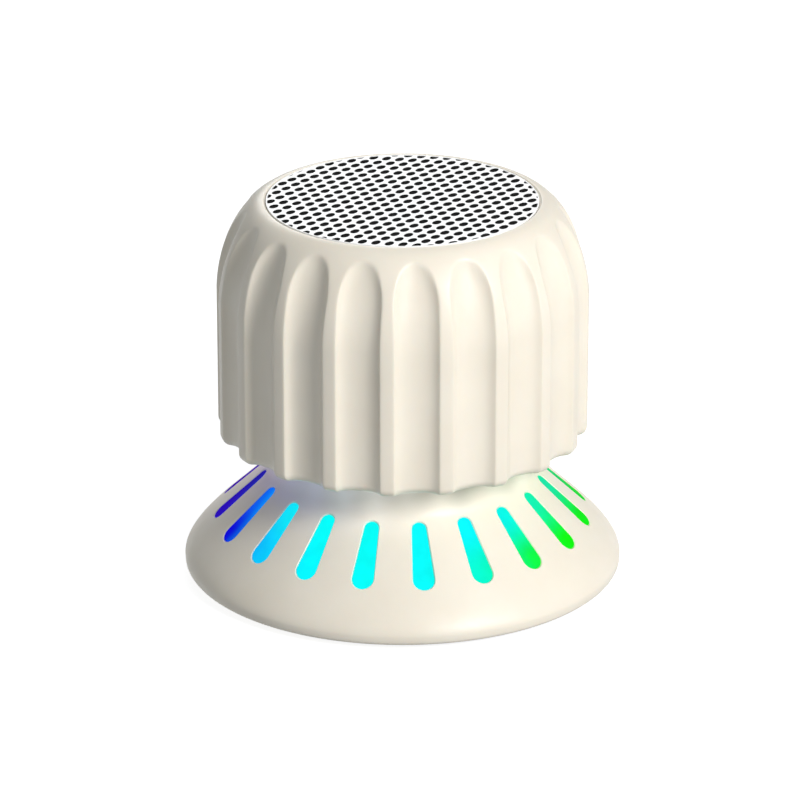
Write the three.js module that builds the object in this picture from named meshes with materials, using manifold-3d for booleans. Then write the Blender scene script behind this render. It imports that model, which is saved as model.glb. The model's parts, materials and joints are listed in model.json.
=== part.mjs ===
// Small splash-proof shower speaker: a fluted speaker body on a flared base with a ring of lit slots.
// Millimetres, +Z up, the base rests on its suction cup at z = 0, the front faces -Y.
import * as THREE from "three";
import { mergeVertices } from "three/addons/utils/BufferGeometryUtils.js";
import Module from "manifold-3d";

const wasm = await Module();
wasm.setup();

// ---- Driving dimensions ----
const FIT = 0.1; // air between static pieces that meet
const TURN = Math.PI * 2;
const RIGHT_ANGLE = Math.PI / 2;

// Body: a cup 54.8 mm across with a rounded shoulder, cut by 20 flutes
const BODY_RADIUS = 27.4;
const BODY_BOTTOM = 21.7;
const BODY_TOP = 57.6;
const BODY_EDGE = 1.4; // rounding of the lower edge
const BODY_CAVITY_RADIUS = 23.6;
const SHOULDER_HEIGHT = 14.2;
const SHOULDER_POWER = 1.79; // superellipse exponent of the shoulder curve
const GRILLE_OPENING = 20.0;
const LIP_RADIUS = 20.3;

const FLUTE_COUNT = 20;
const FLUTE_PITCH = TURN / FLUTE_COUNT;
const GROOVE_HALF_WIDTH = 3.25;
const GROOVE_DEPTH = 1.3;
const GROOVE_POWER = 2.8; // above 2 the groove has a flatter floor and steeper walls than a parabola
const ARCH_TIP = 65 * (Math.PI / 180); // shoulder parameter where a groove starts
const ARCH_FULL = 31 * (Math.PI / 180); // shoulder parameter where it has its full width

// Base: neck, straight slope with the slots, round rim
const NECK_RADIUS = 19.0;
const NECK_TOP = 21.5;
const NECK_LOW = 19.1;
const SLOPE_TOP = [20.3, 15.1];
const SLOPE_LOW = [28.1, 7.8];
const RIM_RADIUS = 32.5;
const RIM_MIDDLE = 2.2;
const RIM_BOTTOM = 0.8;
const BASE_WALL = 1.8;
const FLANGE_LOW = 19.7;
const RIM_BORE = 30.2;

const SLOT_COUNT = 19;
const SLOT_FIRST = 11.2 * (Math.PI / 180); // angle from the front towards +X
const FACET_TURN = Math.PI / (2 * SLOT_COUNT); // puts each slot in the middle of a facet
const SLOT_TOP_RADIUS = 1.05;
const SLOT_LOW_RADIUS = 1.58;
const SLOT_GAP = 0.2;
const GUIDE_THICKNESS = 1.2;

const BOSS_CIRCLE = 13.0; // posts that take the cover screws
const COLUMN_CIRCLE = 14.5; // columns that take the neck and board screws
const LEAD_HOLE = [-13.2, 0];

// Screws, all of one size: pilot bore, clearance hole and head
const SCREW_SHAFT = 0.85;
const SCREW_PILOT = 0.95;
const SCREW_CLEARANCE = 1.1;
const SCREW_HEAD = 1.9;

// Inside of the base
const COVER_LOW = 1.0;
const COVER_CEILING = 4.8;
const COVER_TOP = 6.1;
const COVER_RADIUS = 29.9;
const LED_BOARD_LOW = 6.5;
const LED_BOARD_TOP = 7.5;
const LED_CIRCLE = 18.8;
const LED_SIZE = 5.0;
const LED_HEIGHT = 1.5;
const CUP_RADIUS = 22.4;
const CUP_LIP = 19.8; // inner edge of the flat ring that seals

// Inside of the body
const FLOOR_LOW = 22.1;
const FLOOR_TOP = 23.7;
const BOARD_LOW = 31.0;
const BOARD_TOP = 32.0;
const BOARD_RADIUS = 21.6;

// Control panel on a flat at the back
const FLAT_Y = 26.1;
const PANEL = { width: 15.4, height: 17.5, middle: 38.2, thickness: 1.3, corner: 2.5 };
const BUTTON_NAMES = ["volume_up_button", "play_button", "volume_down_button"];
const BUTTON_RADIUS = 2.0;
const BUTTON_PITCH = 4.9;
const BUTTON_Z = 42.4;
const MICROPHONE_Z = 38.6;
const PORT_Z = 33.7;

// Loudspeaker driver, 40 mm frame
const LEDGE_TOP = 52.0;
const LEDGE_LOW = 50.8;
const LEDGE_BORE = 16.8;
const FLANGE_RADIUS = 19.8;
const FLANGE_TOP = 53.8;
const DRIVER_SCREW_CIRCLE = 18.3;
const COIL_RADIUS = 6.5;
const DRIVER_SIDES = 20;

const group = new THREE.Group();

// ---- Helpers ----
function finish(color, roughness, metalness = 0) {
  return new THREE.MeshStandardMaterial({ color, roughness, metalness });
}

function add(name, geometry, material) {
  const mesh = new THREE.Mesh(geometry, material);
  mesh.name = name;
  group.add(mesh);
}

// Profile of [radius, height] pairs turned about Z; angle 0 is the front.
function turned(profile, segments) {
  const points = profile.map(([radius, height]) => new THREE.Vector2(radius, height));
  return new THREE.LatheGeometry(points, segments).rotateX(RIGHT_ANGLE);
}

// Closed ring: the profile goes round its section and returns to its first point.
function ring(profile, segments) {
  return turned([...profile, profile[0]], segments);
}

function flatRing(inner, outer, low, high, segments) {
  return ring([[inner, low], [outer, low], [outer, high], [inner, high]], segments);
}

function block(width, depth, height, x, y, z) {
  return new THREE.BoxGeometry(width, depth, height).translate(x, y, z);
}

function post(radius, low, high, x = 0, y = 0, sides = 16) {
  const cylinder = new THREE.CylinderGeometry(radius, radius, high - low, sides);
  return cylinder.rotateX(RIGHT_ANGLE).translate(x, y, (low + high) / 2);
}

// Cylinder along Y, from one depth to another.
function peg(radius, near, far, x, z, sides = 20) {
  return new THREE.CylinderGeometry(radius, radius, far - near, sides).translate(x, (near + far) / 2, z);
}

function toSolid(geometry) {
  const bare = geometry.clone();
  bare.deleteAttribute("normal");
  bare.deleteAttribute("uv");
  const merged = mergeVertices(bare, 1e-4);
  return new wasm.Manifold(new wasm.Mesh({
    numProp: 3,
    vertProperties: merged.attributes.position.array,
    triVerts: new Uint32Array(merged.index.array),
  }));
}

function toGeometry(solid) {
  const mesh = solid.getMesh();
  const geometry = new THREE.BufferGeometry();
  geometry.setAttribute("position", new THREE.BufferAttribute(mesh.vertProperties, 3));
  geometry.setIndex(new THREE.BufferAttribute(mesh.triVerts, 1));
  geometry.computeVertexNormals();
  return geometry;
}

function joined(...geometries) {
  return toGeometry(geometries.map(toSolid).reduce((sum, solid) => sum.add(solid)));
}

function cut(geometry, ...tools) {
  return toGeometry(tools.map(toSolid).reduce((rest, tool) => rest.subtract(tool), toSolid(geometry)));
}

function common(first, second) {
  return toGeometry(toSolid(first).intersect(toSolid(second)));
}

// Centres of count points on a circle, the first at the angle start, measured from +X.
function onCircle(radius, count, start) {
  const centres = [];
  for (let i = 0; i < count; i += 1) {
    const angle = start + (i * TURN) / count;
    centres.push([radius * Math.cos(angle), radius * Math.sin(angle)]);
  }
  return centres;
}

// Rectangle with round corners in the XZ plane, thick along Y from near to far.
function roundedPlate(width, height, corner, near, far, middleX, middleZ) {
  const right = width / 2 - corner;
  const top = height / 2 - corner;
  const shape = new THREE.Shape();
  shape.absarc(right, top, corner, 0, RIGHT_ANGLE);
  shape.absarc(-right, top, corner, RIGHT_ANGLE, Math.PI);
  shape.absarc(-right, -top, corner, Math.PI, 3 * RIGHT_ANGLE);
  shape.absarc(right, -top, corner, 3 * RIGHT_ANGLE, TURN);
  const settings = { depth: far - near, bevelEnabled: false, curveSegments: 2 };
  const plate = new THREE.ExtrudeGeometry(shape, settings);
  return plate.rotateX(RIGHT_ANGLE).translate(middleX, far, middleZ);
}

function screw(name, material, { x, y, tip, under, top, headRadius, shaftRadius }) {
  const low = Math.min(tip, under, top);
  const profile = [[0, tip], [shaftRadius, tip], [shaftRadius, under], [headRadius, under],
    [headRadius, top], [0, top]];
  const upright = low === tip;
  add(name, turned(upright ? profile : profile.reverse(), 10).translate(x, y, 0), material);
}

function wire(name, points, radius, material) {
  const outline = new THREE.Shape().absarc(0, 0, radius, 0, TURN);
  const path = new THREE.CatmullRomCurve3(points.map((point) => new THREE.Vector3(...point)));
  const settings = { steps: 10, extrudePath: path, bevelEnabled: false, curveSegments: 4 };
  add(name, new THREE.ExtrudeGeometry(outline, settings), material);
}

// ---- Body shell ----
const SHOULDER_START = BODY_TOP - SHOULDER_HEIGHT;
const SHOULDER_SPAN = BODY_RADIUS - LIP_RADIUS;

function shoulderPoint(t) {
  const power = 2 / SHOULDER_POWER;
  return [
    LIP_RADIUS + SHOULDER_SPAN * Math.cos(t) ** power,
    SHOULDER_START + SHOULDER_HEIGHT * Math.sin(t) ** power,
  ];
}

// Rows of the outside from the lower edge to the lip: point, outward normal and groove growth, 0 to 1.
function bodyRows() {
  const rows = [];
  for (const turn of [-1, -0.5, 0]) {
    const angle = turn * RIGHT_ANGLE;
    rows.push({
      radius: BODY_RADIUS - BODY_EDGE * (1 - Math.cos(angle)),
      height: BODY_BOTTOM + BODY_EDGE * (1 + Math.sin(angle)),
      normal: [1, 0],
      growth: 1,
    });
  }
  const arch = ARCH_TIP - ARCH_FULL;
  const parameters = [0.001, ARCH_FULL, ARCH_TIP - 0.5 * arch, ARCH_TIP - 0.16 * arch, ARCH_TIP, 1.5];
  for (const t of parameters) {
    const [radius, height] = shoulderPoint(t);
    const along = Math.cos(t) ** (2 - 2 / SHOULDER_POWER) / SHOULDER_SPAN;
    const up = Math.sin(t) ** (2 - 2 / SHOULDER_POWER) / SHOULDER_HEIGHT;
    const size = Math.hypot(along, up);
    const rise = THREE.MathUtils.clamp((ARCH_TIP - t) / (ARCH_TIP - ARCH_FULL), 0, 1);
    rows.push({ radius, height, normal: [along / size, up / size], growth: Math.sqrt(1 - (1 - rise) ** 2) });
  }
  return rows;
}

// Columns of one flute, as fractions of the groove's half width either side of its centre.
const GROOVE_COLUMNS = [-1, -0.65, 0, 0.65, 1];

function grooveDepth(fraction) {
  return GROOVE_DEPTH * (1 - Math.abs(fraction) ** GROOVE_POWER);
}

function flutedOutside() {
  const rows = bodyRows();
  const profile = rows.map((row) => [row.radius, row.height]);
  const closed = [[0, BODY_BOTTOM], ...profile, [0, BODY_TOP]];
  const perFlute = GROOVE_COLUMNS.length + 1;
  const lathe = turned(closed, FLUTE_COUNT * perFlute);
  const position = lathe.attributes.position;
  for (let column = 0; column <= FLUTE_COUNT * perFlute; column += 1) {
    const flute = Math.floor(column / perFlute);
    const place = column % perFlute;
    rows.forEach((row, index) => {
      let angle = flute * FLUTE_PITCH;
      let depth = 0;
      if (place > 0) {
        const fraction = GROOVE_COLUMNS[place - 1];
        const spread = Math.asin(GROOVE_HALF_WIDTH / BODY_RADIUS) * Math.max(row.growth, 0.3);
        angle += FLUTE_PITCH / 2 + fraction * spread;
        depth = row.growth * grooveDepth(fraction);
      }
      const radius = row.radius - depth * row.normal[0];
      const height = row.height - depth * row.normal[1];
      position.setXYZ(column * closed.length + index + 1,
        radius * Math.sin(angle), -radius * Math.cos(angle), height);
    });
  }
  return lathe;
}

const BUTTON_PLACES = [-BUTTON_PITCH, 0, BUTTON_PITCH];
const DRIVER_SCREWS = onCircle(DRIVER_SCREW_CIRCLE, 4, RIGHT_ANGLE / 2);

function bodyShell() {
  const outline = bodyRows().map((row) => [row.radius, row.height]);
  const plain = turned([[0, BODY_BOTTOM], ...outline, [0, BODY_TOP]], 96);
  const padding = common(plain, block(PANEL.width + 2, 12, PANEL.height + 3.1, 0, 24, PANEL.middle));
  const outside = joined(flutedOutside(), padding);
  const cavity = turned([[0, BODY_BOTTOM - 1], [BODY_CAVITY_RADIUS, BODY_BOTTOM - 1],
    [BODY_CAVITY_RADIUS, 46], [19, LEDGE_LOW], [LEDGE_BORE, LEDGE_LOW], [LEDGE_BORE, LEDGE_TOP],
    [GRILLE_OPENING, LEDGE_TOP], [GRILLE_OPENING, BODY_TOP + 1], [0, BODY_TOP + 1]], 36);
  const flat = roundedPlate(19, 20, 3, FLAT_Y, FLAT_Y + 4, 0, PANEL.middle);
  const pocket = roundedPlate(PANEL.width + 0.3, PANEL.height + 0.3, PANEL.corner,
    FLAT_Y - PANEL.thickness - FIT, FLAT_Y + 1, 0, PANEL.middle);
  const holes = BUTTON_PLACES.map((x) => peg(BUTTON_RADIUS + 2 * FIT, 20, 28, x, BUTTON_Z));
  const portWindow = roundedPlate(10.2, 4.6, 1.4, 20, 28, 0, PORT_Z);
  const micHole = peg(0.5, 20, 28, 0, MICROPHONE_Z, 8);
  const screwHoles = DRIVER_SCREWS.map(([x, y]) => post(0.7, 48, 53, x, y, 8));
  return cut(outside, cavity, flat, pocket, ...holes, portWindow, micHole, ...screwHoles);
}

// ---- Base shell, slots and light guide ----
const SLOPE_RUN = SLOPE_LOW[0] - SLOPE_TOP[0];
const SLOPE_DROP = SLOPE_TOP[1] - SLOPE_LOW[1];
const SLOPE_LENGTH = Math.hypot(SLOPE_RUN, SLOPE_DROP);
const SLOPE_NORMAL = [SLOPE_DROP / SLOPE_LENGTH, SLOPE_RUN / SLOPE_LENGTH];

// A point of the slope moved inwards, square to the surface.
function inset([radius, height], depth) {
  return [radius - SLOPE_NORMAL[0] * depth, height - SLOPE_NORMAL[1] * depth];
}

function curvePoints(start, control, end, count) {
  const curve = new THREE.QuadraticBezierCurve(new THREE.Vector2(...start), new THREE.Vector2(...control),
    new THREE.Vector2(...end));
  return curve.getPoints(count).map((point) => [point.x, point.y]);
}

function baseOutline() {
  const fall = SLOPE_DROP / SLOPE_RUN;
  const neckControl = [NECK_RADIUS, SLOPE_TOP[1] + fall * (SLOPE_TOP[0] - NECK_RADIUS)];
  const rimControl = [RIM_RADIUS, SLOPE_LOW[1] - fall * (RIM_RADIUS - SLOPE_LOW[0])];
  const flare = curvePoints(SLOPE_TOP, neckControl, [NECK_RADIUS, NECK_LOW], 3);
  const rim = curvePoints([RIM_RADIUS, RIM_MIDDLE], rimControl, SLOPE_LOW, 4);
  const foot = [[RIM_RADIUS - 0.3, RIM_BOTTOM], [RIM_RADIUS - 0.05, 1.4]];
  return [...foot, ...rim, ...flare, [NECK_RADIUS, NECK_TOP]];
}

// Teardrop outline in the plane of the slope, narrow end up, shrunk by gap.
function slotShape(gap) {
  const low = SLOT_LOW_RADIUS - gap;
  const top = SLOT_TOP_RADIUS - gap;
  const lowY = -SLOPE_LENGTH / 2 + SLOT_LOW_RADIUS;
  const topY = SLOPE_LENGTH / 2 - SLOT_TOP_RADIUS;
  const lean = Math.asin((low - top) / (topY - lowY));
  const shape = new THREE.Shape();
  shape.absarc(0, topY, top, lean, Math.PI - lean);
  shape.absarc(0, lowY, low, Math.PI - lean, TURN + lean);
  return shape;
}

// One slot-shaped prism from the depth below the slope's surface to the height above it.
function slotPrism(index, gap, depth, height) {
  const angle = SLOT_FIRST + (index * TURN) / SLOT_COUNT;
  const radial = new THREE.Vector3(Math.sin(angle), -Math.cos(angle), 0);
  const across = new THREE.Vector3(Math.cos(angle), Math.sin(angle), 0);
  const normal = radial.clone().multiplyScalar(SLOPE_NORMAL[0]).setZ(SLOPE_NORMAL[1]);
  const uphill = normal.clone().cross(across);
  const middle = radial.clone().multiplyScalar((SLOPE_TOP[0] + SLOPE_LOW[0]) / 2);
  middle.setZ((SLOPE_TOP[1] + SLOPE_LOW[1]) / 2).addScaledVector(normal, -depth);
  const prism = new THREE.ExtrudeGeometry(slotShape(gap),
    { depth: depth + height, bevelEnabled: false, curveSegments: 1 });
  return prism.applyMatrix4(new THREE.Matrix4().makeBasis(across, uphill, normal).setPosition(middle));
}

function slotPrisms(gap, depth, height) {
  return Array.from({ length: SLOT_COUNT }, (_, index) => slotPrism(index, gap, depth, height));
}

const BOSSES = onCircle(BOSS_CIRCLE, 3, RIGHT_ANGLE);
const COLUMNS = onCircle(COLUMN_CIRCLE, 3, Math.PI / 6);

function baseShell() {
  const inside = [[6, NECK_TOP], [6, FLANGE_LOW], [17.2, FLANGE_LOW], [17.2, 15.6],
    inset(SLOPE_TOP, BASE_WALL), inset(SLOPE_LOW, BASE_WALL), [28.8, 4.6], [28.8, 3.4],
    [RIM_BORE, 3.4], [RIM_BORE, RIM_BOTTOM]];
  const shell = ring([...baseOutline(), ...inside], 2 * SLOT_COUNT).rotateZ(SLOT_FIRST + FACET_TURN);
  const bosses = BOSSES.map(([x, y]) => post(2.1, 6.3, FLANGE_LOW + 0.5, x, y, 12));
  const bossHoles = BOSSES.map(([x, y]) => post(SCREW_PILOT, 5, 15, x, y, 8));
  const neckHoles = COLUMNS.map(([x, y]) => post(SCREW_CLEARANCE, 18, 23, x, y, 8));
  const leadHole = post(1.7, 18, 23, ...LEAD_HOLE, 12);
  const sealGroove = flatRing(16, 17.6, 20.7, 23, 32);
  const solid = joined(shell, ...bosses);
  return cut(solid, ...slotPrisms(0, 4, 2), ...bossHoles, ...neckHoles, leadHole, sealGroove);
}

function lightGuide() {
  const outer = BASE_WALL + SLOT_GAP;
  const inner = outer + GUIDE_THICKNESS;
  const cone = ring([inset(SLOPE_LOW, outer), inset(SLOPE_TOP, outer), inset(SLOPE_TOP, inner),
    inset(SLOPE_LOW, inner)], 2 * SLOT_COUNT).rotateZ(SLOT_FIRST + FACET_TURN);
  return joined(cone, ...slotPrisms(SLOT_GAP, outer + 0.4, -0.05));
}

// ---- Base: board, cover and suction cup ----
function ledBoard() {
  const board = flatRing(8, 22.5, LED_BOARD_LOW, LED_BOARD_TOP, 28);
  return cut(board, ...BOSSES.map(([x, y]) => post(2.4, 5, 9, x, y, 12)));
}

function baseCover() {
  const plate = ring([[COVER_RADIUS, COVER_LOW], [COVER_RADIUS, 2.4], [24.4, 2.4], [24.4, COVER_TOP],
    [3.2, COVER_TOP], [3.2, COVER_CEILING], [23.2, COVER_CEILING], [23.2, COVER_LOW]], 32);
  const heads = BOSSES.map(([x, y]) => post(SCREW_HEAD + 0.2, 4, 5.7, x, y, 12));
  const holes = BOSSES.map(([x, y]) => post(SCREW_CLEARANCE, 4, 8, x, y, 8));
  return cut(plate, ...heads, ...holes);
}

function suctionCup() {
  const below = curvePoints([CUP_LIP, 0], [15, 2.6], [0, 2.8], 4);
  const above = curvePoints([CUP_RADIUS, 0.7], [17, 2.4], [5, 4.6], 4);
  const stud = [[2.9, 4.6], [2.9, 6.3], [3.8, 6.5], [3.0, 7.9], [0, 7.9]];
  return turned([...below.reverse(), [CUP_RADIUS, 0], ...above, ...stud], 28);
}

// ---- Body: floor, battery and boards ----
function bodyFloor() {
  const plate = post(BODY_CAVITY_RADIUS - 0.3, FLOOR_LOW, FLOOR_TOP, 0, 0, 36);
  const columns = COLUMNS.map(([x, y]) => post(2.2, FLOOR_TOP - 0.5, BOARD_LOW - FIT, x, y, 12));
  const bores = COLUMNS.map(([x, y]) => post(SCREW_PILOT, 20, 33, x, y, 8));
  return cut(joined(plate, ...columns), ...bores, post(1.7, 20, 25, ...LEAD_HOLE, 12));
}

function mainBoard() {
  const board = post(BOARD_RADIUS, BOARD_LOW, BOARD_TOP, 0, 0, 40);
  const holes = COLUMNS.map(([x, y]) => post(SCREW_CLEARANCE, 30, 33, x, y, 8));
  const leadGap = post(2.6, 30, 33, -19.5, 0, 12);
  return cut(board, ...holes, leadGap);
}

// USB-C receptacle, open towards the back, with its contact tongue.
function usbPort() {
  const near = 16.2;
  const far = 23.5;
  const wall = 0.3;
  const middle = PORT_Z + 0.03;
  const shell = roundedPlate(8.94, 3.2, 1.5, near, far, 0, middle);
  const hollow = roundedPlate(8.94 - 2 * wall, 3.2 - 2 * wall, 1.25, near + 1, far + 1, 0, middle);
  const tongue = block(6.69, 5.6, 0.7, 0, near + 3.5, middle);
  return joined(cut(shell, hollow), tongue);
}

// Pouch cell lying along Y, its long sides rounded.
function batteryPack() {
  const halfWidth = 10;
  const halfHeight = 2.9;
  const length = 29;
  const shape = new THREE.Shape();
  shape.absarc(halfWidth - halfHeight, 0, halfHeight, -RIGHT_ANGLE, RIGHT_ANGLE);
  shape.absarc(halfHeight - halfWidth, 0, halfHeight, RIGHT_ANGLE, 3 * RIGHT_ANGLE);
  const pouch = new THREE.ExtrudeGeometry(shape, { depth: length, bevelEnabled: false, curveSegments: 4 });
  return pouch.rotateX(RIGHT_ANGLE).translate(0, length / 2 + 2.9, 24.4 + halfHeight);
}

// ---- Control panel ----
function controlPanel() {
  const plate = roundedPlate(PANEL.width, PANEL.height, PANEL.corner - 0.15,
    FLAT_Y - PANEL.thickness, FLAT_Y + FIT, 0, PANEL.middle);
  const holes = BUTTON_PLACES.map((x) => peg(BUTTON_RADIUS + 2 * FIT, 24, 28, x, BUTTON_Z));
  const flapWindow = roundedPlate(11.6, 5.8, 1.8, 24, 28, 0, PORT_Z);
  return cut(plate, ...holes, flapWindow, peg(0.4, 24, 28, 0, MICROPHONE_Z, 8));
}

function button(x) {
  return joined(peg(BUTTON_RADIUS, 24.6, 26.8, x, BUTTON_Z), peg(1.3, 23.1, 25, x, BUTTON_Z, 12));
}

function tactSwitch(x) {
  return joined(block(3.4, 0.9, 3.4, x, 21.65, BUTTON_Z), peg(0.8, 22, 22.4, x, BUTTON_Z, 10));
}

function portFlap() {
  const plate = roundedPlate(11.2, 5.4, 1.6, 25, 26.3, 0, PORT_Z);
  const plug = roundedPlate(8, 2.2, 1, 24, 25.3, 0, PORT_Z);
  return joined(plate, plug);
}

// ---- Driver ----
function driverBasket() {
  const profile = [[FLANGE_RADIUS, 52.8], [FLANGE_RADIUS, FLANGE_TOP], [15.6, FLANGE_TOP], [15.6, 52.4],
    [12.4, 48], [12.4, 47.3], [8.4, 47.3], [8.4, 46.5], [13.1, 46.5], [13.1, 47.9], [16.3, 52.2],
    [16.3, 52.8]];
  const windows = onCircle(15, 4, 0).map(([x, y], index) =>
    new THREE.BoxGeometry(8, 11, 2.6).rotateZ((index * TURN) / 4).translate(x, y, 50));
  const holes = DRIVER_SCREWS.map(([x, y]) => post(0.9, 52, 55, x, y, 8));
  return cut(ring(profile, DRIVER_SIDES), ...windows, ...holes);
}

function driverGasket() {
  const holes = DRIVER_SCREWS.map(([x, y]) => post(0.9, 51, 54, x, y, 8));
  return cut(flatRing(LEDGE_BORE + FIT, FLANGE_RADIUS, LEDGE_TOP + FIT, 52.7, DRIVER_SIDES), ...holes);
}

// Half-roll of thin rubber between the frame and the cone.
function surround() {
  const thickness = 0.35;
  const roll = 1.35;
  const middle = 14.45;
  const foot = FLANGE_TOP + FIT;
  const lean = 0.27;
  const arc = (radius, from, to) => Array.from({ length: 5 }, (_, i) => {
    const angle = from + ((to - from) * i) / 4;
    return [middle + radius * Math.cos(angle), foot + radius * Math.sin(angle)];
  });
  return ring([[16.7, foot], [16.7, foot + thickness], ...arc(roll, lean, Math.PI - lean),
    [12.5, foot + thickness], [12.5, foot], ...arc(roll - thickness, Math.PI, 0)], DRIVER_SIDES);
}

function speakerCone() {
  const profile = [[13.1, 53.7], [12.5, 53.7], [7.05, 50.7], [7.05, 50.3], [12.7, 53.35], [13.1, 53.35]];
  return ring(profile, DRIVER_SIDES);
}

function dustCap() {
  return turned([[0, 52.4], [4.2, 52], [7.4, 51.3], [7.4, 51.65], [4.4, 52.5], [0, 52.9]], 24);
}

// Corrugated cloth disc that centres the voice coil.
function spider() {
  const waves = 6;
  const inner = 7.0;
  const outer = 12.1;
  const upper = [];
  for (let i = 0; i <= waves; i += 1) {
    const wave = i % 2 === 0 ? 0.22 : -0.22;
    upper.push([inner + (i * (outer - inner)) / waves, 48.75 + wave]);
  }
  const lower = upper.map(([radius, height]) => [radius, height - 0.3]);
  return ring([...upper.reverse(), ...lower], DRIVER_SIDES);
}

function yoke() {
  const pole = COIL_RADIUS - 0.65;
  return turned([[0, 38.8], [11.6, 38.8], [11.6, 40.4], [pole, 40.4], [pole, 46.4], [0, 46.4]], DRIVER_SIDES);
}

// ---- Finishes ----
const ivory = finish(0xede4d3, 0.42);
const softIvory = finish(0xe6ddcb, 0.7);
const white = finish(0xf2f2f0, 0.45, 0.2);
const glow = finish(0x59e6e8, 0.35);
const ledBody = finish(0xf4f4ee, 0.4);
const ledBoardWhite = finish(0xe9ebe8, 0.5);
const black = finish(0x141414, 0.8);
const darkPlastic = finish(0x232323, 0.6);
const clearRubber = finish(0xd9dcdc, 0.35);
const steel = finish(0xb9babb, 0.35, 0.9);
const shield = finish(0x8f9398, 0.4, 0.7);
const boardGreen = finish(0x1c5a34, 0.5);
const ferrite = finish(0x2f3032, 0.75);
const foil = finish(0xb7bcc2, 0.4, 0.4);
const paper = finish(0x1d1d1e, 0.85);
const cloth = finish(0xa98546, 0.9);
const copper = finish(0xb0632f, 0.4, 0.8);
const foam = finish(0x3a3a3c, 0.95);
const redWire = finish(0xa3231f, 0.5);

// ---- Assembly ----
function addHousing() {
  add("body_shell", bodyShell(), ivory);
  add("base_shell", baseShell(), ivory);
  add("light_guide", lightGuide(), glow);
  const rim = BODY_TOP - 0.3;
  const grille = turned([[0, 57], [19.3, 57], [19.3, 55.6], [19.9, 55.6], [19.9, rim], [19.6, BODY_TOP],
    [0, BODY_TOP]], 40);
  add("grille", grille, white);
  add("grille_cloth", post(19.1, 56.5, 56.8, 0, 0, 36), black);
}

function addBase() {
  add("led_board", ledBoard(), ledBoardWhite);
  onCircle(LED_CIRCLE, 6, 0).forEach(([x, y], index) => {
    const led = new THREE.BoxGeometry(LED_SIZE, LED_SIZE, LED_HEIGHT).rotateZ((index * TURN) / 6);
    add(`rgb_led_${index + 1}`, led.translate(x, y, LED_BOARD_TOP + FIT + LED_HEIGHT / 2), ledBody);
  });
  add("base_cover", baseCover(), darkPlastic);
  add("suction_cup", suctionCup(), clearRubber);
  BOSSES.forEach(([x, y], index) => screw(`base_screw_${index + 1}`, steel,
    { x, y, tip: 13, under: 5.6, top: 4.9, headRadius: SCREW_HEAD, shaftRadius: SCREW_SHAFT }));
}

function addBodyInside() {
  add("body_floor", bodyFloor(), darkPlastic);
  add("neck_seal", ring(onCircle(0.55, 5, 0).map(([x, y]) => [16.8 + x, 21.4 + y]), 28), black);
  COLUMNS.forEach(([x, y], index) => screw(`neck_screw_${index + 1}`, steel,
    { x, y, tip: 27, under: FLANGE_LOW - FIT, top: 18.4, headRadius: SCREW_HEAD, shaftRadius: SCREW_SHAFT }));
  add("battery_pad", block(18, 27, 0.4, 0, 2.9, 24), foam);
  add("battery", batteryPack(), foil);
  add("main_board", mainBoard(), boardGreen);
  COLUMNS.forEach(([x, y], index) => screw(`board_screw_${index + 1}`, steel,
    { x, y, tip: 28, under: BOARD_TOP + FIT, top: 33.3, headRadius: 1.7, shaftRadius: SCREW_SHAFT }));
  add("bluetooth_module", block(11, 13, 1.6, -7, -6, BOARD_TOP + FIT + 0.8), shield);
  add("amplifier_chip", block(5, 5, 1, 7, -4, BOARD_TOP + FIT + 0.5), black);
  add("usb_port", usbPort(), steel);
}

function addControls() {
  add("control_panel", controlPanel(), softIvory);
  BUTTON_NAMES.forEach((name, index) => {
    add(name, button(BUTTON_PLACES[index]), softIvory);
    add(`tact_switch_${index + 1}`, tactSwitch(BUTTON_PLACES[index]), darkPlastic);
  });
  add("button_board", block(15.2, 1, 10, 0, 20.6, 41.4), boardGreen);
  add("microphone", peg(1.2, 21.2, 22.4, 0, MICROPHONE_Z, 14), steel);
  add("port_flap", portFlap(), softIvory);
}

function addDriver() {
  add("driver_gasket", driverGasket(), foam);
  add("driver_basket", driverBasket(), steel);
  DRIVER_SCREWS.forEach(([x, y], index) => screw(`driver_screw_${index + 1}`, steel,
    { x, y, tip: 49.6, under: FLANGE_TOP + FIT, top: 54.7, headRadius: 1.1, shaftRadius: 0.55 }));
  add("surround", surround(), black);
  add("cone", speakerCone(), paper);
  add("dust_cap", dustCap(), paper);
  add("voice_coil", flatRing(COIL_RADIUS - 0.2, COIL_RADIUS + 0.25, 43.2, 50.3, 24), copper);
  add("spider", spider(), cloth);
  add("top_plate", flatRing(7.2, 11.8, 44.4, 46.4, DRIVER_SIDES), steel);
  add("magnet", flatRing(8.6, 12.4, 40.5, 44.3, DRIVER_SIDES), ferrite);
  add("yoke", yoke(), steel);
  add("terminal_strip", block(0.9, 7, 2.8, -15.3, 0, 48.8), darkPlastic);
}

// Leads run inside the housing, so each is a fixed tube along its real route.
function addLeads() {
  const speakerRoute = [[-16.4, 0, 48.6], [-17.6, 0, 46.8], [-18.2, 0, 41], [-17.4, 0, 35.6], [-16, 0, 32.2]];
  wire("speaker_lead", speakerRoute, 0.7, redWire);
  const batteryRoute = [[6, -12, 27.3], [6.4, -13.6, 27.6], [6.8, -14.8, 28.8], [6.8, -15.2, 30.8]];
  wire("battery_lead", batteryRoute, 0.6, redWire);
  wire("led_lead", [7.7, 15, 23, 30.8].map((z) => [...LEAD_HOLE, z]), 1.1, black);
}

addHousing();
addBase();
addBodyInside();
addControls();
addDriver();
addLeads();

export default group;
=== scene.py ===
import json
import math

import bmesh
import bpy
from mathutils import Matrix, Vector


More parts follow.
